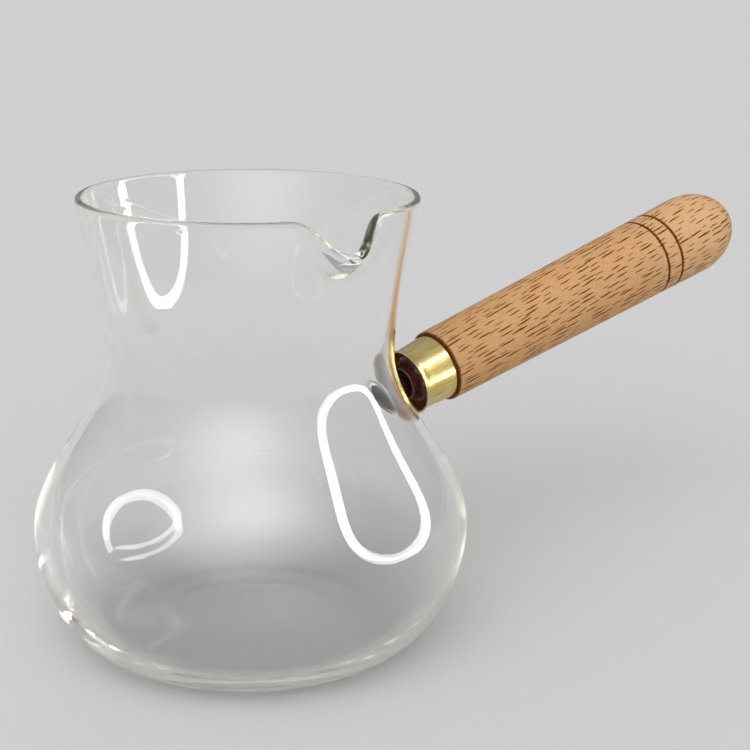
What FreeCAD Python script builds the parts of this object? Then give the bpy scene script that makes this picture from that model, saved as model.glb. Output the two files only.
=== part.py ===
import FreeCAD, Part
import math
import os

# Blown glass coffee pot with a pressed pouring lip and a side handle of turned beech.
# Millimetres and degrees. The pot stands on z = 0 round the Z axis, its handle leaves along +X.

# Glass body, from the foot up
FOOT_DIAMETER = 64.8
STAND_RING_WIDTH = 5.9
PUNT_DEPTH = 0.8
BELLY_DIAMETER = 108.0
BELLY_HEIGHT = 30.5
SHOULDER_HEIGHT = 43.0
WAIST_DIAMETER = 70.6
NECK_HEIGHT = 38.9
RIM_DIAMETER = 82.0
RIM_THICKNESS = 1.9
RIM_LEAN = 12.0
WALL = 1.6
FLOOR_THICKNESS = 3.0

# Pouring lip, pressed out of the rim about a quarter turn from the handle, its edge rolled thick
LIP_BEARING = -93.7
LIP_REACH = 4.4
LIP_DROP = 8.2
LIP_ROLL = 1.0
LIP_ROLL_FALL = 16
LIP_ROLL_SPREAD = 0.4
LIP_HALF_WIDTH = 6.9
LIP_FULLNESS = 2.3
LIP_DRAW_HEIGHT = 17.0

# Handle axis: it meets the outside of the glass this far above the widest ring, and rises outwards
HANDLE_RISE = 24.9
HANDLE_TILT = 14.3

# Glass stub, melted on the body, that carries the handle
STUB_DIAMETER = 8.0
STUB_ROOT_FILLET = 2.5
STUB_SEAT_DEPTH = 26.0
STUB_TIP_LENGTH = 3.0

# Cement that beds the stub in the handle's bore and stands round it as a collar with a blunt lip
CEMENT_LAYER = 0.8
CEMENT_END = 1.5
COLLAR_WIDTH = 1.6
COLLAR_HEIGHT = 3.4
COLLAR_LIP = 0.7

# Brass ferrule, a tapered tube with a belled mouth, pressed over the handle's tenon
FERRULE_STAND_OFF = 6.95
FERRULE_LENGTH = 10.45
FERRULE_REAR_DIAMETER = 18.2
FERRULE_NECK_DIAMETER = 17.1
FERRULE_MOUTH_DIAMETER = 18.4
FERRULE_BELL_LENGTH = 2.4
FERRULE_WALL = 0.5

# Turned handle: a tenon inside the ferrule, a bevelled shoulder, a tapered grip and a round nose
TENON_RECESS = 2.4
SHOULDER_STEP = 0.85
SHOULDER_BEVEL = 0.95
GRIP_LENGTH = 118.7
GRIP_FULL_DIAMETER = 24.0
GRIP_NOSE_LENGTH = 16.3
GROOVE_FROM_NOSE = 14.6
GROOVE_SPACING = 5.8
GROOVE_COUNT = 2
GROOVE_WIDTH = 0.9
GROOVE_DEPTH = 0.5

# Drawing of the curves: share of a side at which one cubic follows a quarter ellipse,
# points round a ring of the neck, rings up the neck and over its bead, swell of the wall to the bead
QUARTER = 0.5523
RING_STEP = 5.0
LIP_STEP = 1.5
LIP_SPAN = 24.0
NECK_RINGS = 12
BEAD_RINGS = 4
BEAD_SWELL = 4
JOIN_TOLERANCE = 0.005

FOOT_RADIUS = FOOT_DIAMETER / 2
PUNT_RADIUS = FOOT_RADIUS - STAND_RING_WIDTH
BELLY_RADIUS = BELLY_DIAMETER / 2
WAIST_RADIUS = WAIST_DIAMETER / 2
WAIST_HEIGHT = BELLY_HEIGHT + SHOULDER_HEIGHT
RIM_RADIUS = RIM_DIAMETER / 2
RIM_HEIGHT = WAIST_HEIGHT + NECK_HEIGHT
BEAD_RADIUS = RIM_THICKNESS / 2
STUB_RADIUS = STUB_DIAMETER / 2
BORE_RADIUS = STUB_RADIUS + CEMENT_LAYER

# Places along the handle's axis, counted from the outside of the glass
FERRULE_MOUTH = FERRULE_STAND_OFF
FERRULE_NECK = FERRULE_MOUTH + FERRULE_BELL_LENGTH
SHOULDER = FERRULE_MOUTH + FERRULE_LENGTH
TENON_END = FERRULE_MOUTH + TENON_RECESS
STUB_TIP = TENON_END + STUB_SEAT_DEPTH
STUB_ROUND = STUB_TIP - STUB_TIP_LENGTH
BORE_END = STUB_TIP + CEMENT_END
GRIP_TIP = SHOULDER + GRIP_LENGTH
GRIP_NOSE = GRIP_TIP - GRIP_NOSE_LENGTH

ORIGIN = FreeCAD.Vector(0, 0, 0)
TURN_AXIS = FreeCAD.Vector(0, 0, 1)
GRIP_AXIS = FreeCAD.Vector(1, 0, 0)
TILT_AXIS = FreeCAD.Vector(0, -1, 0)
FULL_TURN = 360.0
HALF_TURN = FULL_TURN / 2


def line(start, end):
    return Part.LineSegment(start, end).toShape()


def curve(*poles):
    bezier = Part.BezierCurve()
    bezier.setPoles(list(poles))
    return bezier.toShape()


def turned(edges, axis):
    """Solid swept by a closed half profile round an axis through the origin."""
    return Part.Face(Part.Wire(edges)).revolve(ORIGIN, axis, FULL_TURN)


# Glass body


def at(radius, height):
    """Point of the body's half profile, drawn on the side away from the handle."""
    return FreeCAD.Vector(-radius, 0, height)


def ease(share):
    """Smooth rise from 0 to 1 with level ends."""
    share = min(max(share, 0.0), 1.0)
    return share * share * (3 - 2 * share)


def shoulder_radius(height):
    """Outside radius of the glass between its belly and its waist."""
    share = (height - BELLY_HEIGHT) / SHOULDER_HEIGHT
    return BELLY_RADIUS + (WAIST_RADIUS - BELLY_RADIUS) * ease(share)


def belly_edges(inset, floor):
    """Half profile from the foot over the belly to the waist, set in from the outside."""
    belly = BELLY_RADIUS - inset
    waist = WAIST_RADIUS - inset
    third = SHOULDER_HEIGHT / 3
    lower = curve(
        at(FOOT_RADIUS, floor),
        at(FOOT_RADIUS + QUARTER * (belly - FOOT_RADIUS), floor),
        at(belly, BELLY_HEIGHT - QUARTER * (BELLY_HEIGHT - floor)),
        at(belly, BELLY_HEIGHT),
    )
    upper = curve(
        at(belly, BELLY_HEIGHT),
        at(belly, BELLY_HEIGHT + third),
        at(waist, WAIST_HEIGHT - third),
        at(waist, WAIST_HEIGHT),
    )
    return [lower, upper]


def lower_body():
    """Body up to the waist, standing on a flat ring round a shallow punt."""
    punt = curve(at(0, PUNT_DEPTH), at(PUNT_RADIUS / 2, PUNT_DEPTH), at(PUNT_RADIUS, 0))
    ring = line(at(PUNT_RADIUS, 0), at(FOOT_RADIUS, 0))
    waist = line(at(WAIST_RADIUS, WAIST_HEIGHT), at(WAIST_RADIUS - WALL, WAIST_HEIGHT))
    inside = belly_edges(WALL, FLOOR_THICKNESS)
    floor = line(at(FOOT_RADIUS, FLOOR_THICKNESS), at(0, FLOOR_THICKNESS))
    axis = line(at(0, FLOOR_THICKNESS), at(0, PUNT_DEPTH))
    edges = [punt, ring] + belly_edges(0, 0) + [waist] + inside[::-1] + [floor, axis]
    return turned(edges, TURN_AXIS)


def wall_middle():
    """The lower body filled to the middle of its wall, where the stub's root ends."""
    top = line(at(WAIST_RADIUS - WALL / 2, WAIST_HEIGHT), at(0, WAIST_HEIGHT))
    axis = line(at(0, WAIST_HEIGHT), at(0, FLOOR_THICKNESS))
    floor = line(at(0, FLOOR_THICKNESS), at(FOOT_RADIUS, FLOOR_THICKNESS))
    return turned(belly_edges(WALL / 2, FLOOR_THICKNESS) + [top, axis, floor], TURN_AXIS)


def neck_profile():
    """Radius, height and facing of the rings up the outside, over the bead and down the inside."""
    lean = math.radians(RIM_LEAN)
    bead_radius = RIM_RADIUS - BEAD_RADIUS
    bead_height = RIM_HEIGHT - BEAD_RADIUS
    top_radius = bead_radius + BEAD_RADIUS * math.cos(lean)
    rise = bead_height - BEAD_RADIUS * math.sin(lean) - WAIST_HEIGHT
    outside = []
    inside = []
    for i in range(NECK_RINGS):
        share = i / NECK_RINGS
        flare = rise * math.tan(lean) * share * share * (share - 1)
        radius = WAIST_RADIUS + (top_radius - WAIST_RADIUS) * ease(share) + flare
        height = WAIST_HEIGHT + rise * share
        wall = WALL + (RIM_THICKNESS - WALL) * share**BEAD_SWELL
        outside.append((radius, height, -lean * share))
        level = height + wall * math.sin(lean) * share
        inside.append((radius - wall, level, math.pi - lean * share))
    bead = []
    for i in range(BEAD_RINGS + 1):
        angle = math.pi * i / BEAD_RINGS - lean
        radius = bead_radius + BEAD_RADIUS * math.cos(angle)
        bead.append((radius, bead_height + BEAD_RADIUS * math.sin(angle), angle))
    return outside + bead + inside[::-1]


def off_lip(bearing):
    """Angle between the lip and a bearing that is counted from it."""
    return abs((bearing + HALF_TURN) % FULL_TURN - HALF_TURN)


def ring_bearings():
    """Bearings of a ring's points from the lip, closer together where the lip bends it."""
    bearings = [HALF_TURN - LIP_BEARING]
    end = bearings[0] + FULL_TURN
    while bearings[-1] < end - RING_STEP:
        step = LIP_STEP if off_lip(bearings[-1]) < LIP_SPAN else RING_STEP
        bearings.append(bearings[-1] + step)
    return bearings + [end]


def neck_ring(radius, height, facing):
    """One closed ring of the neck, drawn out, pressed down and thickened at the lip."""
    bearings = ring_bearings()
    press = ease((height - RIM_HEIGHT + LIP_DRAW_HEIGHT) / LIP_DRAW_HEIGHT)
    points = []
    for bearing in bearings[:-1]:
        offset = math.radians(off_lip(bearing)) * RIM_RADIUS / LIP_HALF_WIDTH
        swell = math.exp(-(offset**LIP_FULLNESS))
        roll = LIP_ROLL * swell**LIP_ROLL_SPREAD * press**LIP_ROLL_FALL
        reach = radius + LIP_REACH * swell * press * press + roll * math.cos(facing)
        level = height - LIP_DROP * swell * press + roll * math.sin(facing)
        angle = math.radians(bearing + LIP_BEARING)
        points.append(FreeCAD.Vector(reach * math.cos(angle), reach * math.sin(angle), level))
    ring = Part.BSplineCurve()
    ring.interpolate(Points=points, PeriodicFlag=True, Parameters=bearings)
    return Part.Wire(ring.toShape())


def neck():
    """Neck, bead and lip as one loft, closed at the waist by a flat ring."""
    skin = Part.makeLoft([neck_ring(*ring) for ring in neck_profile()])
    ends = [Part.Wire(edge) for edge in skin.Edges if edge.isClosed()]
    ends.sort(key=lambda wire: wire.Length, reverse=True)
    closed = Part.Compound(skin.Faces + [Part.Face(ends)])
    closed.sewShape()
    return Part.Solid(closed.Shells[0])


# Pieces on the handle's axis


def on(distance, radius):
    """Point of a half profile along the handle's axis."""
    return FreeCAD.Vector(distance, 0, radius)


def quarter(start, end):
    """Quarter ellipse that leaves start along the axis and meets end square to it."""
    corner = on(end.x, start.z)
    return curve(start, start + (corner - start) * QUARTER, end + (corner - end) * QUARTER, end)


def set_on_pot(piece):
    """Turns a piece up to the handle's slope and carries it to the handle's root."""
    root_height = BELLY_HEIGHT + HANDLE_RISE
    piece.rotate(ORIGIN, TILT_AXIS, HANDLE_TILT)
    piece.translate(FreeCAD.Vector(shoulder_radius(root_height), 0, root_height))
    return piece


def stub():
    """Round-ended rod whose root ends inside the wall of the glass."""
    start = -STUB_DIAMETER
    edges = [
        line(on(start, 0), on(start, STUB_RADIUS)),
        line(on(start, STUB_RADIUS), on(STUB_ROUND, STUB_RADIUS)),
        quarter(on(STUB_ROUND, STUB_RADIUS), on(STUB_TIP, 0)),
        line(on(STUB_TIP, 0), on(start, 0)),
    ]
    return set_on_pot(turned(edges, GRIP_AXIS)).cut(wall_middle())


def glass_pot():
    """Body and stub as one piece of glass, with the stub's root melted into the wall."""
    body = lower_body().fuse(stub())
    rod = [face for face in body.Faces if isinstance(face.Surface, Part.Cylinder)][0]
    root = [edge for edge in rod.Edges if isinstance(edge.Curve, Part.BSplineCurve)]
    return body.makeFillet(STUB_ROOT_FILLET, root).fuse([neck()], JOIN_TOLERANCE).Solids[0]


def stub_cement():
    """Sleeve and end cap of cement round the stub, with a hollow-sided collar at the tenon's end."""
    collar_top = on(TENON_END - COLLAR_HEIGHT, STUB_RADIUS)
    collar_lip = on(TENON_END - COLLAR_HEIGHT, STUB_RADIUS + COLLAR_LIP)
    collar_edge = on(TENON_END, BORE_RADIUS + COLLAR_WIDTH)
    edges = [
        line(collar_top, on(STUB_ROUND, STUB_RADIUS)),
        quarter(on(STUB_ROUND, STUB_RADIUS), on(STUB_TIP, 0)),
        line(on(STUB_TIP, 0), on(BORE_END, 0)),
        line(on(BORE_END, 0), on(BORE_END, BORE_RADIUS)),
        line(on(BORE_END, BORE_RADIUS), on(TENON_END, BORE_RADIUS)),
        line(on(TENON_END, BORE_RADIUS), collar_edge),
        curve(collar_edge, on(TENON_END, collar_lip.z), collar_lip),
        line(collar_lip, collar_top),
    ]
    return set_on_pot(turned(edges, GRIP_AXIS))


def ferrule_radius(distance, inset):
    """Radius of the ferrule's taper, set in from the outside."""
    share = (distance - FERRULE_NECK) / (SHOULDER - FERRULE_NECK)
    diameter = FERRULE_NECK_DIAMETER + (FERRULE_REAR_DIAMETER - FERRULE_NECK_DIAMETER) * share
    return diameter / 2 - inset


def ferrule_edges(inset):
    """Half profile of the ferrule from its mouth to its rear, set in from the outside."""
    mouth = on(FERRULE_MOUTH, FERRULE_MOUTH_DIAMETER / 2 - inset)
    throat = on(FERRULE_NECK, ferrule_radius(FERRULE_NECK, inset))
    rear = on(SHOULDER, ferrule_radius(SHOULDER, inset))
    bell = curve(mouth, on(FERRULE_NECK - FERRULE_BELL_LENGTH / 2, throat.z), throat)
    return [bell, line(throat, rear)]


def brass_ferrule():
    """Thin tube, open at both ends."""
    mouth = FERRULE_MOUTH_DIAMETER / 2
    rear = ferrule_radius(SHOULDER, 0)
    rear_end = line(on(SHOULDER, rear), on(SHOULDER, rear - FERRULE_WALL))
    mouth_end = line(on(FERRULE_MOUTH, mouth - FERRULE_WALL), on(FERRULE_MOUTH, mouth))
    edges = ferrule_edges(0) + [rear_end] + ferrule_edges(FERRULE_WALL)[::-1] + [mouth_end]
    return set_on_pot(turned(edges, GRIP_AXIS))


def grip_radius(distance):
    """Radius of the grip's taper between the bevel and the nose."""
    front = ferrule_radius(SHOULDER, 0) + SHOULDER_STEP
    start = SHOULDER + SHOULDER_BEVEL
    share = (distance - start) / (GRIP_NOSE - start)
    return front + (GRIP_FULL_DIAMETER / 2 - front) * share


def wooden_handle():
    """Turned handle, bored for the stub, with two V grooves near its nose."""
    bevel = SHOULDER + SHOULDER_BEVEL
    corners = [
        on(BORE_END, 0),
        on(BORE_END, BORE_RADIUS),
        on(TENON_END, BORE_RADIUS),
        on(TENON_END, ferrule_radius(TENON_END, FERRULE_WALL)),
        on(SHOULDER, ferrule_radius(SHOULDER, FERRULE_WALL)),
        on(SHOULDER, ferrule_radius(SHOULDER, 0)),
        on(bevel, grip_radius(bevel)),
    ]
    for i in reversed(range(GROOVE_COUNT)):
        centre = GRIP_NOSE - GROOVE_FROM_NOSE - GROOVE_SPACING * i
        start = centre - GROOVE_WIDTH / 2
        end = centre + GROOVE_WIDTH / 2
        corners.append(on(start, grip_radius(start)))
        corners.append(on(centre, grip_radius(centre) - GROOVE_DEPTH))
        corners.append(on(end, grip_radius(end)))
    corners.append(on(GRIP_NOSE, grip_radius(GRIP_NOSE)))
    edges = [line(start, end) for start, end in zip(corners, corners[1:])]
    edges.append(quarter(corners[-1], on(GRIP_TIP, 0)))
    edges.append(line(on(GRIP_TIP, 0), on(BORE_END, 0)))
    return set_on_pot(turned(edges, GRIP_AXIS))


os.makedirs("parts", exist_ok=True)
for make in (glass_pot, stub_cement, brass_ferrule, wooden_handle):
    make().exportStep("parts/" + make.__name__ + ".step")
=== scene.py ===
import math

import bmesh
import bpy
from mathutils import Matrix, Vector
from mathutils.bvhtree import BVHTree


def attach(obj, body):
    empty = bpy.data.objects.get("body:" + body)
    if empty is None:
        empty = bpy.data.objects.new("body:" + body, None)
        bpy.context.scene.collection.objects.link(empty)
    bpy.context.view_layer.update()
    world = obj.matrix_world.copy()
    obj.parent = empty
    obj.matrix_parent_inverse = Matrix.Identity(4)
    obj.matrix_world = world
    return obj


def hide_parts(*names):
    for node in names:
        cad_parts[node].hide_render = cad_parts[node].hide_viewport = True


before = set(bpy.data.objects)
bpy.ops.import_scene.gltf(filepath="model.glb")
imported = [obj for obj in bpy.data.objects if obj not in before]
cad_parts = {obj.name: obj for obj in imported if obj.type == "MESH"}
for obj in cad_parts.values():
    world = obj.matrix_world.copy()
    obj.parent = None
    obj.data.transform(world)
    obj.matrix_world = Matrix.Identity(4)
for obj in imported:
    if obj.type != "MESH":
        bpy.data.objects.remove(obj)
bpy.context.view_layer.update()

# Glass body
# One piece of clear borosilicate glass, blown in a mould, with a rim that is fire polished to a bead.
# The pouring lip is pressed out of the rim while the glass is soft.

MM = 0.001
FOOT_RADIUS = 32.4
PUNT_RADIUS = 26.5
PUNT_DEPTH = 0.8
BELLY_RADIUS = 54.0
BELLY_HEIGHT = 30.5
SHOULDER_HEIGHT = 43.0
WAIST_RADIUS = 35.3
WAIST_HEIGHT = BELLY_HEIGHT + SHOULDER_HEIGHT
RIM_RADIUS = 41.0
RIM_HEIGHT = WAIST_HEIGHT + 38.9
RIM_LEAN = math.radians(12)
BEAD_RADIUS = 0.95
BEAD_SWELL = 4
WALL = 1.6
FLOOR_THICKNESS = 3.0
QUARTER = 0.5523
PUNT_STEPS = 8
BELLY_STEPS = 24
NECK_STEPS = 36
BEAD_STEPS = 16
SEAM_REACH = 0.001
GLASS_COLOUR = (0.99, 0.995, 0.985, 1)
GLASS_IOR = 1.47
DEPTH_COLOUR = (0.945, 0.947, 0.905, 1)
DEPTH_DENSITY = 21.0
FILM_SCALE = 45.0
FILM_DETAIL = 4.0
FILM_START = 0.55
FILM_FULL = 0.85
FILM_ROUGHNESS = 0.03

GLASS_SIZES = {
    "Segments": 256,
    "Crowding": 0.6,
    "Bearing": math.radians(-93.7),
    "Lip Reach": 4.4,
    "Lip Drop": 8.2,
    "Lip Roll": 1.0,
    "Lip Roll Fall": 16.0,
    "Lip Roll Spread": 0.4,
    "Lip Half Width": 6.9,
    "Lip Fullness": 2.3,
    "Lip Draw Height": 17.0,
    "Rim Radius": RIM_RADIUS,
    "Rim Height": RIM_HEIGHT,
    "Ripple Depth": 0.1,
    "Ripple Length": 26.0,
    "Ripple Detail": 1.0,
    "Ripple Start": 4.0,
    "Ripple Full": 16.0,
}


def ease(share):
    """Smooth rise from 0 to 1 with level ends."""
    return share * share * (3 - 2 * share)


def bezier(steps, *poles):
    """Points of one curve through its first and last pole."""
    points = []
    for i in range(steps + 1):
        row = [Vector(pole) for pole in poles]
        while len(row) > 1:
            row = [a.lerp(b, i / steps) for a, b in zip(row, row[1:])]
        points.append(row[0])
    return points


def belly_line(inset, floor):
    """Half profile from the foot over the belly to the waist, set in from the outside."""
    belly = BELLY_RADIUS - inset
    waist = WAIST_RADIUS - inset
    third = SHOULDER_HEIGHT / 3
    lower = bezier(
        BELLY_STEPS,
        (FOOT_RADIUS, floor),
        (FOOT_RADIUS + QUARTER * (belly - FOOT_RADIUS), floor),
        (belly, BELLY_HEIGHT - QUARTER * (BELLY_HEIGHT - floor)),
        (belly, BELLY_HEIGHT),
    )
    upper = bezier(
        BELLY_STEPS,
        (belly, BELLY_HEIGHT),
        (belly, BELLY_HEIGHT + third),
        (waist, WAIST_HEIGHT - third),
        (waist, WAIST_HEIGHT),
    )
    return lower + upper[1:]


def neck_line():
    """Half profile up the outside of the neck, over the bead and down the inside."""
    bead_radius = RIM_RADIUS - BEAD_RADIUS
    bead_height = RIM_HEIGHT - BEAD_RADIUS
    top_radius = bead_radius + BEAD_RADIUS * math.cos(RIM_LEAN)
    rise = bead_height - BEAD_RADIUS * math.sin(RIM_LEAN) - WAIST_HEIGHT
    outside = []
    inside = []
    for i in range(1, NECK_STEPS):
        share = i / NECK_STEPS
        flare = rise * math.tan(RIM_LEAN) * share * share * (share - 1)
        radius = WAIST_RADIUS + (top_radius - WAIST_RADIUS) * ease(share) + flare
        height = WAIST_HEIGHT + rise * share
        wall = WALL + (2 * BEAD_RADIUS - WALL) * share**BEAD_SWELL
        outside.append((radius, height))
        inside.append((radius - wall, height + wall * math.sin(RIM_LEAN) * share))
    bead = []
    for i in range(BEAD_STEPS + 1):
        angle = math.pi * i / BEAD_STEPS - RIM_LEAN
        radius = bead_radius + BEAD_RADIUS * math.cos(angle)
        bead.append((radius, bead_height + BEAD_RADIUS * math.sin(angle)))
    return outside + bead + inside[::-1]


def put(tree, kind, feeds=None, **settings):
    """Adds a node, sets its properties and feeds its sockets with links or plain values."""
    node = tree.nodes.new(kind)
    for name, value in settings.items():
        setattr(node, name, value)
    for key, source in (feeds or {}).items():
        if isinstance(source, bpy.types.NodeSocket):
            tree.links.new(source, node.inputs[key])
        else:
            node.inputs[key].default_value = source
    return node


def calc(tree, operation, *values):
    """One step of arithmetic in a node tree."""
    return put(tree, "ShaderNodeMath", dict(enumerate(values)), operation=operation).outputs[0]


def smooth(tree, value, start, end):
    """Smooth rise of a value from 0 at start to 1 at end."""
    feeds = {"Value": value, "From Min": start, "From Max": end}
    return put(tree, "ShaderNodeMapRange", feeds, interpolation_type="SMOOTHSTEP").outputs[0]


def lathe_inputs(name, sizes):
    """New geometry tree with named inputs for its profile, its sizes and its material."""
    tree = bpy.data.node_groups.new(name, "GeometryNodeTree")
    sockets = {"Profile": "Geometry", "Material": "Material"}
    for size in sizes:
        sockets[size] = "Int" if size == "Segments" else "Float"
    for socket, kind in sockets.items():
        tree.interface.new_socket(socket, in_out="INPUT", socket_type="NodeSocket" + kind)
    tree.interface.new_socket("Skin", in_out="OUTPUT", socket_type="NodeSocketGeometry")
    return tree, tree.nodes.new("NodeGroupInput").outputs


def profile_point(tree, given, row):
    """Point of the profile that belongs to a row of the sheet."""
    place = tree.nodes.new("GeometryNodeInputPosition").outputs[0]
    feeds = {"Geometry": given["Profile"], "Value": place, "Index": row}
    return put(tree, "GeometryNodeSampleIndex", feeds, data_type="FLOAT_VECTOR", clamp=True).outputs[0]


def lathe_grid(tree, given):
    """Sheet with a row for each point of the profile, its points' turn in radians and their row."""
    columns = put(tree, "FunctionNodeIntegerMath", {0: given["Segments"], 1: 1}).outputs[0]
    size = put(tree, "GeometryNodeAttributeDomainSize", {0: given["Profile"]}, component="MESH")
    feeds = {"Vertices X": size.outputs["Point Count"], "Vertices Y": columns}
    grid = put(tree, "GeometryNodeMeshGrid", feeds)
    index = tree.nodes.new("GeometryNodeInputIndex").outputs[0]
    feeds = {0: index, 1: columns}
    row = put(tree, "FunctionNodeIntegerMath", feeds, operation="DIVIDE_FLOOR").outputs[0]
    column = put(tree, "FunctionNodeIntegerMath", feeds, operation="FLOORED_MODULO").outputs[0]
    share = calc(tree, "DIVIDE", column, given["Segments"])
    turn = calc(tree, "MULTIPLY", calc(tree, "SUBTRACT", 0.5, share), 2 * math.pi)
    return grid.outputs["Mesh"], turn, row


def lathe_skin(tree, grid, turn, point):
    """The sheet rolled up round Z and welded along its seam and at its poles."""
    feeds = {"Vector": point, "Angle": turn}
    rolled = put(tree, "ShaderNodeVectorRotate", feeds, rotation_type="Z_AXIS").outputs[0]
    skin = put(tree, "GeometryNodeSetPosition", {"Geometry": grid, "Position": rolled}).outputs[0]
    return put(tree, "GeometryNodeMergeByDistance", {"Geometry": skin, "Distance": SEAM_REACH}).outputs[0]


def lathe_output(tree, given, skin):
    """Smooth shading and material, and the end of the tree."""
    skin = put(tree, "GeometryNodeSetShadeSmooth", {"Geometry": skin}).outputs[0]
    skin = put(tree, "GeometryNodeRealizeInstances", {"Geometry": skin}).outputs[0]
    feeds = {"Geometry": skin, "Material": given["Material"]}
    skin = put(tree, "GeometryNodeSetMaterial", feeds).outputs[0]
    put(tree, "NodeGroupOutput", {"Skin": skin})


def blown_tree():
    """Turned body with a thick lip drawn out and pressed down, and the ripple of blown glass."""
    tree, given = lathe_inputs("blown_glass", GLASS_SIZES)
    grid, turn, row = lathe_grid(tree, given)
    crowd = calc(tree, "MULTIPLY", calc(tree, "SINE", turn), given["Crowding"])
    turn = calc(tree, "SUBTRACT", turn, crowd)
    parts = put(tree, "ShaderNodeSeparateXYZ", {0: profile_point(tree, given, row)}).outputs
    radius, height = parts["X"], parts["Z"]
    after = profile_point(tree, given, calc(tree, "ADD", row, 1.0))
    before = profile_point(tree, given, calc(tree, "SUBTRACT", row, 1.0))
    along = put(tree, "ShaderNodeVectorMath", {0: after, 1: before}, operation="SUBTRACT").outputs[0]
    along = put(tree, "ShaderNodeVectorMath", {0: along}, operation="NORMALIZE").outputs[0]
    facing = put(tree, "ShaderNodeSeparateXYZ", {0: along}).outputs

    draw_start = calc(tree, "SUBTRACT", given["Rim Height"], given["Lip Draw Height"])
    press = smooth(tree, height, draw_start, given["Rim Height"])
    offset = calc(tree, "MULTIPLY", calc(tree, "ABSOLUTE", turn), given["Rim Radius"])
    offset = calc(tree, "DIVIDE", offset, given["Lip Half Width"])
    fall = calc(tree, "POWER", offset, given["Lip Fullness"])
    swell = calc(tree, "EXPONENT", calc(tree, "MULTIPLY", fall, -1.0))
    pressed = calc(tree, "MULTIPLY", swell, press)
    drawn = calc(tree, "MULTIPLY", pressed, press)
    roll = calc(tree, "POWER", swell, given["Lip Roll Spread"])
    roll = calc(tree, "MULTIPLY", roll, calc(tree, "POWER", press, given["Lip Roll Fall"]))
    roll = calc(tree, "MULTIPLY", roll, given["Lip Roll"])
    radius = calc(tree, "MULTIPLY_ADD", drawn, given["Lip Reach"], radius)
    radius = calc(tree, "MULTIPLY_ADD", roll, facing["Z"], radius)
    height = calc(tree, "SUBTRACT", height, calc(tree, "MULTIPLY", pressed, given["Lip Drop"]))
    height = calc(tree, "SUBTRACT", height, calc(tree, "MULTIPLY", roll, facing["X"]))
    point = put(tree, "ShaderNodeCombineXYZ", {"X": radius, "Z": height}).outputs[0]
    skin = lathe_skin(tree, grid, calc(tree, "ADD", turn, given["Bearing"]), point)

    place = tree.nodes.new("GeometryNodeInputPosition").outputs[0]
    normal = tree.nodes.new("GeometryNodeInputNormal").outputs[0]
    feeds = {0: normal, "Scale": given["Ripple Length"]}
    apart = put(tree, "ShaderNodeVectorMath", feeds, operation="SCALE").outputs[0]
    spot = put(tree, "ShaderNodeVectorMath", {0: place, 1: apart}, operation="ADD").outputs[0]
    feeds = {
        "Vector": spot,
        "Scale": calc(tree, "DIVIDE", 1.0, given["Ripple Length"]),
        "Detail": given["Ripple Detail"],
    }
    wave = put(tree, "ShaderNodeTexNoise", feeds).outputs[0]
    level = put(tree, "ShaderNodeSeparateXYZ", {0: place}).outputs["Z"]
    share = smooth(tree, level, given["Ripple Start"], given["Ripple Full"])
    depth = calc(tree, "MULTIPLY", calc(tree, "MULTIPLY", wave, share), given["Ripple Depth"])
    feeds = {0: normal, "Scale": calc(tree, "MULTIPLY", depth, -1.0)}
    sink = put(tree, "ShaderNodeVectorMath", feeds, operation="SCALE").outputs[0]
    skin = put(tree, "GeometryNodeSetPosition", {"Geometry": skin, "Offset": sink}).outputs[0]
    lathe_output(tree, given, skin)
    return tree


def turn_piece(profile, tree, sizes, material):
    """Plain mesh of a half profile, radius and height, run through a lathe tree."""
    blank = bpy.data.meshes.new("profile")
    blank.from_pydata([(radius, 0.0, height) for radius, height in profile], [], [])
    holder = bpy.data.objects.new("profile", blank)
    bpy.context.scene.collection.objects.link(holder)
    lathe = holder.modifiers.new("lathe", "NODES")
    lathe.node_group = tree
    values = dict(sizes, Material=material)
    for item in tree.interface.items_tree:
        if item.in_out == "INPUT" and item.name in values:
            lathe[item.identifier] = values[item.name]
    shaped = holder.evaluated_get(bpy.context.evaluated_depsgraph_get())
    mesh = bpy.data.meshes.new_from_object(shaped)
    mesh.materials.pop(index=0)
    bpy.data.objects.remove(holder)
    return mesh


def new_material(name):
    """Material with nothing in its tree but its shader, and that shader."""
    material = bpy.data.materials.new(name)
    material.use_nodes = True
    return material.node_tree, material.node_tree.nodes["Principled BSDF"], material


def clear_glass():
    """Clear glass, faintly olive in its depth, with a soft film of handling."""
    tree, shader, material = new_material("blown_glass")
    shader.inputs["Base Color"].default_value = GLASS_COLOUR
    shader.inputs["Transmission Weight"].default_value = 1.0
    shader.inputs["IOR"].default_value = GLASS_IOR
    place = tree.nodes.new("ShaderNodeTexCoord").outputs["Object"]
    feeds = {"Vector": place, "Scale": FILM_SCALE, "Detail": FILM_DETAIL}
    film = smooth(tree, put(tree, "ShaderNodeTexNoise", feeds).outputs[0], FILM_START, FILM_FULL)
    tree.links.new(calc(tree, "MULTIPLY", film, FILM_ROUGHNESS), shader.inputs["Roughness"])
    feeds = {"Color": DEPTH_COLOUR, "Density": DEPTH_DENSITY}
    depth = put(tree, "ShaderNodeVolumeAbsorption", feeds).outputs[0]
    tree.links.new(depth, tree.nodes["Material Output"].inputs["Volume"])
    return material


pot_profile = bezier(PUNT_STEPS, (0, PUNT_DEPTH), (PUNT_RADIUS / 2, PUNT_DEPTH), (PUNT_RADIUS, 0))
pot_profile += belly_line(0, 0) + neck_line() + belly_line(WALL, FLOOR_THICKNESS)[::-1]
pot_profile.append((0, FLOOR_THICKNESS))
glass_mesh = turn_piece(pot_profile, blown_tree(), GLASS_SIZES, clear_glass())

# Glass stub
# A solid rod of the same glass, melted on the shoulder with a soft root and rounded at its end.
# It reaches into the handle's bore, and it is one piece with the body.

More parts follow.
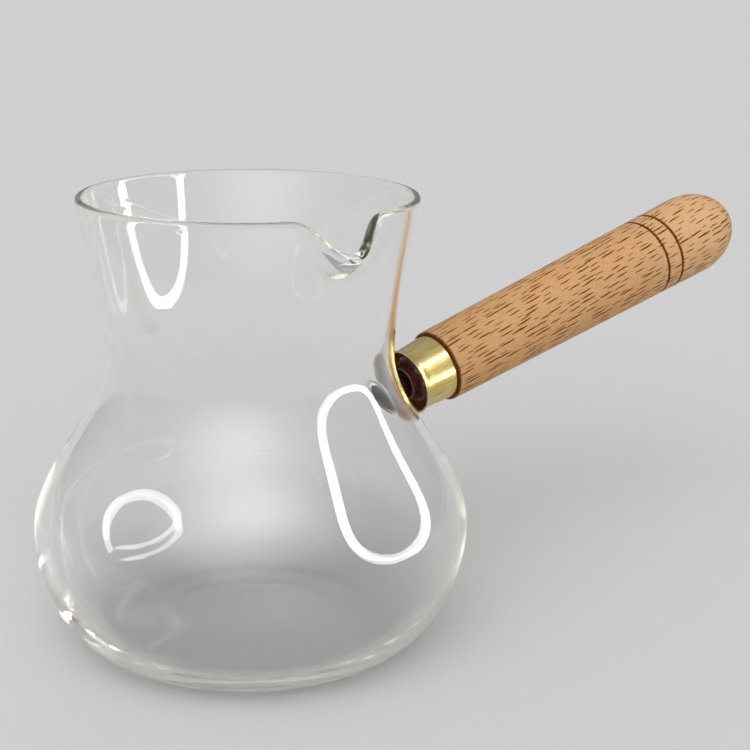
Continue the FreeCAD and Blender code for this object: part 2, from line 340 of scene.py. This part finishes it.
HANDLE_TILT = math.radians(14.3)
ROOT_HEIGHT = BELLY_HEIGHT + 24.9
STUB_RADIUS = 4.0
STUB_ROOT = 2.5
STUB_TIP = 35.35
STUB_TIP_LENGTH = 3.0
STUB_SEGMENTS = 64
STUB_STEPS = 8
WELD_CLEARANCE = 0.6

root_share = (ROOT_HEIGHT - BELLY_HEIGHT) / SHOULDER_HEIGHT
root_radius = BELLY_RADIUS + (WAIST_RADIUS - BELLY_RADIUS) * ease(root_share)
handle_place = Matrix.Translation((root_radius, 0, ROOT_HEIGHT))
handle_place @= Matrix.Rotation(math.pi / 2 - HANDLE_TILT, 4, "Y")


def stub_rings(wall):
    """Rings of points from the wall over the soft root and along the rod to its rounded end."""
    out = handle_place.to_3x3() @ Vector((0, 0, 1))
    roots = []
    rods = []
    for i in range(STUB_SEGMENTS):
        angle = 2 * math.pi * i / STUB_SEGMENTS
        side = Vector((math.cos(angle), math.sin(angle), 0))
        above = Vector((0, 0, STUB_TIP))
        foot = wall.ray_cast(handle_place @ (above + side * (STUB_RADIUS + STUB_ROOT)), -out)[0]
        corner = wall.ray_cast(handle_place @ (above + side * STUB_RADIUS), -out)[0]
        roots.append(bezier(STUB_STEPS, foot, corner, corner + out * STUB_ROOT))
        straight = Vector((0, 0, STUB_TIP - STUB_TIP_LENGTH))
        rods.append([handle_place @ (straight + side * STUB_RADIUS)])
        for step in range(1, STUB_STEPS):
            bend = math.pi / 2 * step / STUB_STEPS
            rise = Vector((0, 0, STUB_TIP_LENGTH * math.sin(bend)))
            rods[-1].append(handle_place @ (straight + rise + side * STUB_RADIUS * math.cos(bend)))
    return list(zip(*roots)) + list(zip(*rods))


def melt_on_stub(mesh):
    """Opens the outside of the wall round the handle's axis and joins the stub to the opening."""
    body = bmesh.new()
    body.from_mesh(mesh)
    rings = stub_rings(BVHTree.FromBMesh(body))
    out = handle_place.to_3x3() @ Vector((0, 0, 1))
    to_handle = handle_place.inverted()
    opening = STUB_RADIUS + STUB_ROOT + WELD_CLEARANCE
    under = []
    for vertex in body.verts:
        spot = to_handle @ vertex.co
        if spot.xy.length < opening and abs(spot.z) < opening and vertex.normal.dot(out) > 0:
            under.append(vertex)
    bmesh.ops.delete(body, geom=under, context="VERTS")
    edge_loop = [edge for edge in body.edges if edge.is_boundary]
    skins = [[body.verts.new(point) for point in ring] for ring in rings]
    for lower, upper in zip(skins, skins[1:]):
        for i in range(STUB_SEGMENTS):
            body.faces.new((lower[i - 1], lower[i], upper[i], upper[i - 1]))
    tip = body.verts.new(handle_place @ Vector((0, 0, STUB_TIP)))
    for i in range(STUB_SEGMENTS):
        body.faces.new((skins[-1][i - 1], skins[-1][i], tip))
    first = [body.edges.get((skins[0][i - 1], skins[0][i])) for i in range(STUB_SEGMENTS)]
    bmesh.ops.bridge_loops(body, edges=edge_loop + first)
    bmesh.ops.recalc_face_normals(body, faces=body.faces)
    for face in body.faces:
        face.smooth = True
    body.to_mesh(mesh)
    body.free()


def finished(name, mesh, node):
    """Object at the origin, in metres, that stands for a node of the frame."""
    mesh.transform(Matrix.Scale(MM, 4))
    mesh.name = name
    piece = bpy.data.objects.new(name, mesh)
    bpy.context.scene.collection.objects.link(piece)
    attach(piece, "root")
    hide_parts(node)
    return piece


melt_on_stub(glass_mesh)
finished("blown_pot", glass_mesh, "glass_pot")

# Stub cement
# Dark brown heat-proof cement, poured into the bore round the stub and left to set with a wet gloss.
# It stands in the ferrule's mouth as a hollow-sided collar with a blunt lip.

TENON_END = 9.35
CEMENT_LAYER = 0.8
CEMENT_BITE = 0.02
COLLAR_WIDTH = 1.6
COLLAR_TOP = TENON_END - 3.4
COLLAR_LIP = 0.7
COLLAR_LAND = 1.0
COLLAR_ROUND = 0.25
BORE_END = 36.85
BORE_RADIUS = STUB_RADIUS + CEMENT_LAYER
CEMENT_DARK = (0.035, 0.010, 0.007, 1)
CEMENT_LIGHT = (0.09, 0.022, 0.014, 1)
CEMENT_SCALE = 0.9
CEMENT_DETAIL = 3.0
CEMENT_WET = 0.05
CEMENT_DULLING = 0.25
CEMENT_RELIEF = 0.0003
TURNED_SIZES = {"Segments": 160}
SHARP_ANGLE = math.radians(35)
CORNER_STEPS = 4


def turned_tree():
    """Plain turned piece."""
    tree, given = lathe_inputs("turned_piece", TURNED_SIZES)
    grid, turn, row = lathe_grid(tree, given)
    lathe_output(tree, given, lathe_skin(tree, grid, turn, profile_point(tree, given, row)))
    return tree


def softened(corners):
    """Half profile of corners, radius and height, each rounded over its own reach."""
    points = []
    for i, (radius, height, reach) in enumerate(corners):
        corner = Vector((radius, height))
        before = Vector(corners[i - 1][:2])
        after = Vector(corners[(i + 1) % len(corners)][:2])
        start = corner + (before - corner).normalized() * reach
        end = corner + (after - corner).normalized() * reach
        points += bezier(CORNER_STEPS, start, corner, end) if reach else [corner]
    return points


def turned_on_handle(profile, material):
    """Mesh of a piece that is turned round the handle's axis, with crisp edges left crisp."""
    mesh = turn_piece(profile, turned, TURNED_SIZES, material)
    mesh.set_sharp_from_angle(angle=SHARP_ANGLE)
    mesh.transform(handle_place)
    return mesh


def set_on(tree, place):
    """Object coordinates in millimetres, seen from a place on the handle."""
    feeds = {
        "Vector": tree.nodes.new("ShaderNodeTexCoord").outputs["Object"],
        "Location": place.translation * MM,
        "Rotation": place.to_euler(),
        "Scale": (MM, MM, MM),
    }
    return put(tree, "ShaderNodeMapping", feeds, vector_type="TEXTURE").outputs[0]


def spaced(tree, place, steps):
    """A place counted in steps of a pattern's size along each axis."""
    feeds = {"Vector": place, "Scale": steps}
    return put(tree, "ShaderNodeMapping", feeds, vector_type="TEXTURE").outputs[0]


def mixed(tree, share, first, second):
    """Colour between two colours."""
    feeds = {0: share, 6: first, 7: second}
    return put(tree, "ShaderNodeMix", feeds, data_type="RGBA").outputs[2]


def bumped(tree, shader, height, distance):
    """Relief of the surface, its height in metres at full value."""
    feeds = {"Height": height, "Distance": distance}
    tree.links.new(put(tree, "ShaderNodeBump", feeds).outputs[0], shader.inputs["Normal"])


def brown_cement():
    """Set cement, glossy where it was wet, with small pits."""
    tree, shader, material = new_material("set_cement")
    place = set_on(tree, handle_place)
    feeds = {"Vector": place, "Scale": CEMENT_SCALE, "Detail": CEMENT_DETAIL}
    cloud = put(tree, "ShaderNodeTexNoise", feeds).outputs[0]
    tree.links.new(mixed(tree, cloud, CEMENT_DARK, CEMENT_LIGHT), shader.inputs["Base Color"])
    rough = calc(tree, "MULTIPLY_ADD", cloud, CEMENT_DULLING, CEMENT_WET)
    tree.links.new(rough, shader.inputs["Roughness"])
    bumped(tree, shader, cloud, CEMENT_RELIEF)
    return material


turned = turned_tree()
inner_radius = STUB_RADIUS - CEMENT_BITE
lip_radius = STUB_RADIUS + COLLAR_LIP
cement_profile = [Vector((0, STUB_TIP - CEMENT_BITE))]
for step in range(1, STUB_STEPS + 1):
    bend = math.pi / 2 * step / STUB_STEPS
    rise = (STUB_TIP_LENGTH - CEMENT_BITE) * math.cos(bend)
    cement_profile.append(Vector((inner_radius * math.sin(bend), STUB_TIP - STUB_TIP_LENGTH + rise)))
cement_profile += softened(
    [
        (inner_radius, COLLAR_TOP + COLLAR_LAND, 0),
        (inner_radius, COLLAR_TOP, COLLAR_ROUND),
        (lip_radius, COLLAR_TOP, COLLAR_ROUND),
        (lip_radius, COLLAR_TOP + COLLAR_LAND, 0),
    ]
)
meniscus = bezier(
    STUB_STEPS,
    (lip_radius, COLLAR_TOP + COLLAR_LAND),
    (lip_radius, TENON_END),
    (BORE_RADIUS + COLLAR_WIDTH, TENON_END),
)
cement_profile += meniscus[1:]
cement_profile += [(BORE_RADIUS, TENON_END), (BORE_RADIUS, BORE_END), (0, BORE_END)]
cement_mesh = turned_on_handle(cement_profile, brown_cement())
finished("set_cement", cement_mesh, "stub_cement")

# Brass ferrule
# A short tapered tube of thin brass, spun out to a small bell at its mouth and polished.
# It is pressed over the handle's tenon up to the shoulder and keeps the wood from splitting.

FERRULE_MOUTH = 6.95
FERRULE_NECK = 9.35
SHOULDER = 17.4
MOUTH_RADIUS = 9.2
NECK_RADIUS = 8.55
REAR_RADIUS = 9.1
FERRULE_WALL = 0.5
BELL_STEPS = 5
MOUTH_ROUND = 0.2
REAR_ROUND = 0.12
BRASS_BRIGHT = (0.76, 0.61, 0.25, 1)
BRASS_TARNISH_AND_DARK_REFLECTION = (0.48, 0.36, 0.11, 1)
BRASS_ROUGHNESS = 0.16
MARK_STEPS = (1.2, 1.2, 0.024)
MARK_DETAIL = 2.0
MARK_ROUGHNESS = 0.12
MARK_RELIEF = 0.000004
STREAK_STEPS = (0.64, 0.64, 8.0)
STREAK_DETAIL = 2.0
TARNISH_AND_REFLECTION_START = 0.35
TARNISH_AND_REFLECTION_FULL = 0.75
TARNISH_AND_REFLECTION_ROUGHNESS = 0.08


def grained(tree, place, steps, detail):
    """Noise with grains of a given size along each axis."""
    feeds = {"Vector": spaced(tree, place, steps), "Scale": 1.0, "Detail": detail}
    return put(tree, "ShaderNodeTexNoise", feeds).outputs[0]


def polished_brass():
    """Yellow brass, polished, with fine turning marks and faint darker streaks along its axis, partly
    tarnish and partly painted dark reflection bands.
    """
    tree, shader, material = new_material("spun_brass")
    place = set_on(tree, handle_place)
    shader.inputs["Metallic"].default_value = 1.0
    marks = grained(tree, place, MARK_STEPS, MARK_DETAIL)
    streaks = grained(tree, place, STREAK_STEPS, STREAK_DETAIL)
    # Darker streaks along the axis: partly tarnish, partly painted dark reflection bands.
    tarnish_and_reflection = smooth(tree, streaks, TARNISH_AND_REFLECTION_START, TARNISH_AND_REFLECTION_FULL)
    tree.links.new(mixed(tree, tarnish_and_reflection, BRASS_BRIGHT, BRASS_TARNISH_AND_DARK_REFLECTION), shader.inputs["Base Color"])
    rough = calc(tree, "MULTIPLY_ADD", marks, MARK_ROUGHNESS, BRASS_ROUGHNESS)
    rough = calc(tree, "MULTIPLY_ADD", tarnish_and_reflection, TARNISH_AND_REFLECTION_ROUGHNESS, rough)
    tree.links.new(rough, shader.inputs["Roughness"])
    bumped(tree, shader, marks, MARK_RELIEF)
    return material


bell = bezier(
    BELL_STEPS,
    (MOUTH_RADIUS, FERRULE_MOUTH),
    (NECK_RADIUS, (FERRULE_MOUTH + FERRULE_NECK) / 2),
    (NECK_RADIUS, FERRULE_NECK),
)
ferrule_corners = [(MOUTH_RADIUS, FERRULE_MOUTH, MOUTH_ROUND)]
ferrule_corners += [(radius, height, 0) for radius, height in bell[1:]]
ferrule_corners.append((REAR_RADIUS, SHOULDER, REAR_ROUND))
for radius, height, reach in ferrule_corners[::-1]:
    ferrule_corners.append((radius - FERRULE_WALL, height, reach))
ferrule_profile = softened(ferrule_corners)
ferrule_mesh = turned_on_handle(ferrule_profile + ferrule_profile[:1], polished_brass())
finished("tapered_ferrule", ferrule_mesh, "brass_ferrule")

# Wooden handle
# Beech, turned on a lathe with a tenon, a bevelled shoulder, a tapered grip and a round nose, then
# oiled. Two grooves near the nose are burnt dark with a wire; the shoulder's bevel is burnt dark too,
# and its dark band also carries painted shade where it meets the ferrule.

SHOULDER_STEP = 0.85
SHOULDER_BEVEL = 0.95
SHOULDER_ROUND = 0.2
GRIP_NOSE = 119.8
GRIP_TIP = 136.1
GRIP_RADIUS = 12.0
NOSE_STEPS = 24
GROOVES = (GRIP_NOSE - 20.4, GRIP_NOSE - 14.6)
GROOVE_HALF_WIDTH = 0.45
GROOVE_DEPTH = 0.5
GROOVE_ROUND = 0.12
GRAIN_SLANT = math.radians(-3.3)
GRAIN_WANDER = 0.5
WANDER_STEPS = (1.4, 1.4, 3.2)
WANDER_DETAIL = 2.0
FLECK_WIDE_STEP = 1.5
FLECK_LONG_STEP = 6.6
FLECK_HALF_WIDTH = 0.27
FLECK_HALF_LENGTH = 3.3
FLECK_SCATTER = 0.75
FLECK_LEAST_SIZE = 0.38
FLECK_SIZE_SPREAD = 0.75
FLECK_CORE = 0.7
END_GRAIN = 0.6
END_GRAIN_START = math.radians(45)
END_GRAIN_FULL = math.radians(65)
FIBRE_STEPS = (0.1, 0.1, 1.0)
FIBRE_DETAIL = 4.0
FIBRE_START = 0.25
FIBRE_FULL = 0.75
FIBRE_RELIEF = 0.3
CLOUD_STEPS = (1.4, 1.4, 6.8)
CLOUD_DETAIL = 2.0
CLOUD_SHARE = 0.3
PALE_START = GRIP_NOSE - 35.0
PALE_SHARE = 0.5
CHAR_AND_SHADE_SCALE = 0.9
CHAR_AND_SHADE_DETAIL = 3.0
CHAR_AND_SHADE_WANDER = 0.5
SHOULDER_BURN_AND_SHADE_FULL = SHOULDER + 0.5
SHOULDER_BURN_AND_SHADE_END = SHOULDER + 1.2
GROOVE_CHAR_FULL = 0.25
GROOVE_CHAR_END = 0.75
BEECH_DARK = (0.50, 0.258, 0.102, 1)
BEECH_LIGHT = (0.735, 0.432, 0.203, 1)
BEECH_CLOUD = (0.60, 0.33, 0.125, 1)
BEECH_PALE = (0.74, 0.48, 0.245, 1)
FLECK_BROWN = (0.155, 0.036, 0.002, 1)
SHOULDER_BURN_AND_SHADE = (0.10, 0.025, 0.004, 1)
GROOVE_BROWN = (0.15, 0.038, 0.005, 1)
BEECH_ROUGHNESS = 0.44
FLECK_ROUGHNESS = 0.12
BEECH_GLOSS = 0.06
BEECH_RELIEF = 0.00004


def spindles(tree, flat):
    """Thin dark spindles of varied size on a flat sheet, one to a cell, 1 in their middle."""
    cell = spaced(tree, flat, (FLECK_WIDE_STEP, FLECK_LONG_STEP, 1.0))
    feeds = {"Vector": cell, "Scale": 1.0, "Randomness": FLECK_SCATTER}
    cells = put(tree, "ShaderNodeTexVoronoi", feeds, voronoi_dimensions="2D").outputs
    size = put(tree, "ShaderNodeSeparateColor", {0: cells["Color"]}).outputs[0]
    size = calc(tree, "MULTIPLY_ADD", size, FLECK_SIZE_SPREAD, FLECK_LEAST_SIZE)
    feeds = {0: cell, 1: cells["Position"]}
    away = put(tree, "ShaderNodeVectorMath", feeds, operation="SUBTRACT").outputs[0]
    feeds = {0: away, 1: (FLECK_WIDE_STEP / FLECK_HALF_WIDTH, FLECK_LONG_STEP / FLECK_HALF_LENGTH, 0.0)}
    away = put(tree, "ShaderNodeVectorMath", feeds, operation="MULTIPLY").outputs[0]
    off = put(tree, "ShaderNodeVectorMath", {0: away}, operation="LENGTH").outputs["Value"]
    edge = smooth(tree, calc(tree, "DIVIDE", off, size), FLECK_CORE, 1.0)
    return calc(tree, "SUBTRACT", 1.0, edge)


def ray_flecks(tree, place):
    """Flecks laid round the handle along its grain, and cut straight across on the end of its nose."""
    parts = put(tree, "ShaderNodeSeparateXYZ", {0: place}).outputs
    nose = calc(tree, "DIVIDE", calc(tree, "SUBTRACT", parts["Z"], GRIP_NOSE), GRIP_TIP - GRIP_NOSE)
    nose = calc(tree, "ARCSINE", calc(tree, "MINIMUM", calc(tree, "MAXIMUM", nose, 0.0), 1.0))
    length = calc(tree, "MINIMUM", parts["Z"], GRIP_NOSE)
    length = calc(tree, "MULTIPLY_ADD", nose, (GRIP_TIP - GRIP_NOSE + GRIP_RADIUS) / 2, length)
    turn = calc(tree, "ARCTAN2", parts["Y"], calc(tree, "MULTIPLY", parts["X"], -1.0))
    wander = grained(tree, place, WANDER_STEPS, WANDER_DETAIL)
    girth = calc(tree, "MULTIPLY", turn, GRIP_RADIUS)
    girth = calc(tree, "MULTIPLY_ADD", length, math.tan(GRAIN_SLANT), girth)
    girth = calc(tree, "MULTIPLY_ADD", wander, GRAIN_WANDER, girth)
    side = spindles(tree, put(tree, "ShaderNodeCombineXYZ", {"X": girth, "Y": length}).outputs[0])
    end = calc(tree, "MULTIPLY", spindles(tree, place), END_GRAIN)
    share = smooth(tree, nose, END_GRAIN_START, END_GRAIN_FULL)
    feeds = {0: share, 2: side, 3: end}
    return put(tree, "ShaderNodeMix", feeds).outputs[0]


def oiled_beech():
    """Pale beech, palest at its nose, with thin dark ray flecks along its grain, burnt lines, and a dark
    shoulder band that is partly burn and partly painted shade.
    """
    tree, shader, material = new_material("turned_beech")
    place = set_on(tree, handle_place)
    fibre = smooth(tree, grained(tree, place, FIBRE_STEPS, FIBRE_DETAIL), FIBRE_START, FIBRE_FULL)
    cloud = calc(tree, "MULTIPLY", grained(tree, place, CLOUD_STEPS, CLOUD_DETAIL), CLOUD_SHARE)
    fleck = ray_flecks(tree, place)
    axial = put(tree, "ShaderNodeSeparateXYZ", {0: place}).outputs["Z"]
    pale = calc(tree, "MULTIPLY", smooth(tree, axial, PALE_START, GRIP_NOSE), PALE_SHARE)
    colour = mixed(tree, fibre, BEECH_DARK, BEECH_LIGHT)
    colour = mixed(tree, cloud, colour, BEECH_CLOUD)
    colour = mixed(tree, pale, colour, BEECH_PALE)
    colour = mixed(tree, fleck, colour, FLECK_BROWN)

    feeds = {"Vector": place, "Scale": CHAR_AND_SHADE_SCALE, "Detail": CHAR_AND_SHADE_DETAIL}
    char_and_shade_noise = put(tree, "ShaderNodeTexNoise", feeds).outputs[0]
    axial = calc(tree, "SUBTRACT", axial, CHAR_AND_SHADE_WANDER / 2)
    axial = calc(tree, "MULTIPLY_ADD", char_and_shade_noise, CHAR_AND_SHADE_WANDER, axial)
    # Dark band on the shoulder's bevel: partly burnt wood, partly painted shade where the bevel meets the
    # ferrule.
    unmarked = smooth(tree, axial, SHOULDER_BURN_AND_SHADE_FULL, SHOULDER_BURN_AND_SHADE_END)
    colour = mixed(tree, unmarked, SHOULDER_BURN_AND_SHADE, colour)
    for groove in GROOVES:
        off = calc(tree, "ABSOLUTE", calc(tree, "SUBTRACT", axial, groove))
        unmarked = smooth(tree, off, GROOVE_CHAR_FULL, GROOVE_CHAR_END)
        colour = mixed(tree, unmarked, GROOVE_BROWN, colour)
    tree.links.new(colour, shader.inputs["Base Color"])
    rough = calc(tree, "MULTIPLY_ADD", fleck, FLECK_ROUGHNESS, BEECH_ROUGHNESS)
    tree.links.new(rough, shader.inputs["Roughness"])
    shader.inputs["Specular IOR Level"].default_value = BEECH_GLOSS
    relief = calc(tree, "SUBTRACT", calc(tree, "MULTIPLY", fibre, FIBRE_RELIEF), fleck)
    bumped(tree, shader, relief, BEECH_RELIEF)
    return material


def grip_radius(distance):
    """Radius of the grip's taper between the bevel and the nose."""
    front = REAR_RADIUS + SHOULDER_STEP
    start = SHOULDER + SHOULDER_BEVEL
    return front + (GRIP_RADIUS - front) * (distance - start) / (GRIP_NOSE - start)


bevel = SHOULDER + SHOULDER_BEVEL
wood_corners = [
    (0, BORE_END, 0),
    (BORE_RADIUS, BORE_END, 0),
    (BORE_RADIUS, TENON_END, 0),
    (NECK_RADIUS - FERRULE_WALL, TENON_END, 0),
    (REAR_RADIUS - FERRULE_WALL, SHOULDER, 0),
    (REAR_RADIUS, SHOULDER, SHOULDER_ROUND),
    (grip_radius(bevel), bevel, SHOULDER_ROUND),
]
for groove in GROOVES:
    start = groove - GROOVE_HALF_WIDTH
    end = groove + GROOVE_HALF_WIDTH
    wood_corners.append((grip_radius(start), start, GROOVE_ROUND))
    wood_corners.append((grip_radius(groove) - GROOVE_DEPTH, groove, GROOVE_ROUND))
    wood_corners.append((grip_radius(end), end, GROOVE_ROUND))
wood_corners.append((GRIP_RADIUS, GRIP_NOSE, 0))
nose = bezier(
    NOSE_STEPS,
    (GRIP_RADIUS, GRIP_NOSE),
    (GRIP_RADIUS, GRIP_NOSE + QUARTER * (GRIP_TIP - GRIP_NOSE)),
    (QUARTER * GRIP_RADIUS, GRIP_TIP),
    (0, GRIP_TIP),
)
wood_mesh = turned_on_handle(softened(wood_corners) + nose[1:], oiled_beech())
finished("turned_handle", wood_mesh, "wooden_handle")

# Studio
# A pale floor just under the pot, a soft sky with a broad glow, a ring lamp for the reflections, and
# the camera at the photograph's place.

FLOOR_SIZE = 30.0
FLOOR_GAP = 0.00025
FLOOR_COLOUR = (0.70, 0.70, 0.69, 1)
FLOOR_ROUGHNESS = 0.9
SKY_LOW = (0.33, 0.33, 0.34, 1)
SKY_HIGH = (0.51, 0.51, 0.53, 1)
SKY_TOP = 0.8
GLOW_BEARING = math.radians(-135)
GLOW_HEIGHT = math.radians(40)
GLOW_STRENGTH = 2.6
GLOW_TIGHTNESS = 6.0
LAMP_BEARING = math.radians(-43)
LAMP_HEIGHT = math.radians(24)
LAMP_DISTANCE = 0.5
LAMP_SIZE = 0.53
LAMP_POWER = 7.7
LAMP_HOLE = 0.40
CAMERA_BEARING = math.radians(33.716)
CAMERA_DISTANCE = 0.370
CAMERA_HEIGHT = 0.17125
CAMERA_HEADING = math.radians(38.438)
CAMERA_PITCH = math.radians(15.686)
CAMERA_ROLL = math.radians(0.586)
CAMERA_LENS = 74.813
GLASS_BOUNCES = 128


def pale_floor():
    """Matt pale grey paper."""
    tree, shader, material = new_material("pale_floor")
    shader.inputs["Base Color"].default_value = FLOOR_COLOUR
    shader.inputs["Roughness"].default_value = FLOOR_ROUGHNESS
    shader.inputs["Specular IOR Level"].default_value = 0.0
    return material


floor_mesh = bpy.data.meshes.new("floor")
sides = ((-1, -1), (1, -1), (1, 1), (-1, 1))
corners = [(x * FLOOR_SIZE, y * FLOOR_SIZE, -FLOOR_GAP) for x, y in sides]
floor_mesh.from_pydata(corners, [], [(0, 1, 2, 3)])
floor_mesh.materials.append(pale_floor())
floor = bpy.data.objects.new("floor", floor_mesh)
bpy.context.scene.collection.objects.link(floor)


def way_to(bearing, height):
    """Direction of a lamp from the pot."""
    flat = math.cos(height)
    return Vector((flat * math.cos(bearing), flat * math.sin(bearing), math.sin(height)))


def hung(name, light, way, distance):
    """Lamp in a direction from the pot's middle and turned towards it."""
    lamp = bpy.data.objects.new(name, light)
    lamp.location = Vector((0, 0, BELLY_HEIGHT * MM)) + way * distance
    lamp.rotation_euler = way.to_track_quat("Z", "Y").to_euler()
    lamp.visible_camera = False
    bpy.context.scene.collection.objects.link(lamp)
    return lamp


ring_light = bpy.data.lights.new("ring_lamp", "AREA")
ring_light.shape = "DISK"
ring_light.size = LAMP_SIZE
ring_light.energy = LAMP_POWER
ring_light.use_nodes = True
disc = ring_light.node_tree
spot = disc.nodes.new("ShaderNodeNewGeometry").outputs["Parametric"]
feeds = {0: spot, 1: (0.5, 0.5, 0.0)}
off = put(disc, "ShaderNodeVectorMath", feeds, operation="DISTANCE").outputs["Value"]
lit = calc(disc, "GREATER_THAN", off, LAMP_HOLE)
disc.links.new(lit, disc.nodes["Emission"].inputs["Strength"])
ring = hung("ring_lamp", ring_light, way_to(LAMP_BEARING, LAMP_HEIGHT), LAMP_DISTANCE)
ring.visible_diffuse = False

world = bpy.data.worlds.new("studio")
world.use_nodes = True
bpy.context.scene.world = world
sky = world.node_tree
way = sky.nodes.new("ShaderNodeTexCoord").outputs["Generated"]
rise = put(sky, "ShaderNodeSeparateXYZ", {0: way}).outputs["Z"]
shade = mixed(sky, smooth(sky, rise, 0.0, SKY_TOP), SKY_LOW, SKY_HIGH)
feeds = {0: way, 1: way_to(GLOW_BEARING, GLOW_HEIGHT)}
facing = put(sky, "ShaderNodeVectorMath", feeds, operation="DOT_PRODUCT").outputs["Value"]
glow = calc(sky, "POWER", calc(sky, "MAXIMUM", facing, 0.0), GLOW_TIGHTNESS)
glow = calc(sky, "MULTIPLY", glow, GLOW_STRENGTH)
feeds = {0: shade, 1: glow}
shade = put(sky, "ShaderNodeVectorMath", feeds, operation="ADD").outputs[0]
sky.links.new(shade, sky.nodes["Background"].inputs["Color"])

camera_data = bpy.data.cameras.new("camera")
camera_data.lens = CAMERA_LENS
camera = bpy.data.objects.new("camera", camera_data)
bpy.context.scene.collection.objects.link(camera)
stand = Vector((-math.sin(CAMERA_BEARING), -math.cos(CAMERA_BEARING), 0)) * CAMERA_DISTANCE
stand.z = CAMERA_HEIGHT
camera.matrix_world = (
    Matrix.Translation(stand)
    @ Matrix.Rotation(-CAMERA_HEADING, 4, "Z")
    @ Matrix.Rotation(math.pi / 2 - CAMERA_PITCH, 4, "X")
    @ Matrix.Rotation(CAMERA_ROLL, 4, "Z")
)
bpy.context.scene.camera = camera
bpy.context.scene.view_settings.view_transform = "Standard"
cycles = bpy.context.scene.cycles
cycles.max_bounces = GLASS_BOUNCES
cycles.glossy_bounces = GLASS_BOUNCES
cycles.transmission_bounces = GLASS_BOUNCES
